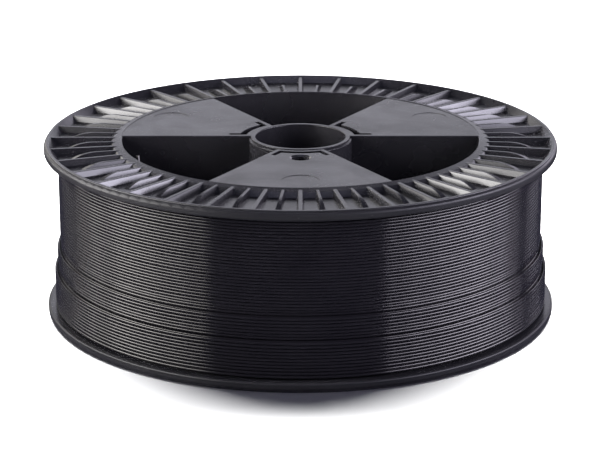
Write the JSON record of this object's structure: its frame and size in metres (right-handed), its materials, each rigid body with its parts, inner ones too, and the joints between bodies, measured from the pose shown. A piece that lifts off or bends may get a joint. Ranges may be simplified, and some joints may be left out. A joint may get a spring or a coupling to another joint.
{
  "type": "filament spool",
  "caption": "Large flat-lying filament spool of two ribbed snap-together halves, wound full with black filament, with a central hub bore and driving holes.",
  "frame": {"origin": "on the spool's axis, at the flat land of the lower rim, which is the face the spool lies on", "axes": "+Z along the spool's axis, out of the upper flange; -Y towards the sector that has the driving holes"},
  "size_m": [0.3, 0.3, 0.103],
  "materials": {
    "spool_plastic": "fine satin moulded texture",
    "filament": "semi-gloss extruded strand"
  },
  "bodies": {
    "root": {"lower_half": "spool_plastic", "upper_half": "spool_plastic", "filament_inner_layers": "filament", "filament_full_layer": "filament", "filament_second_layer": "filament", "filament_last_layer": "filament", "filament_start": "filament"}
  },
  "joints": []
}
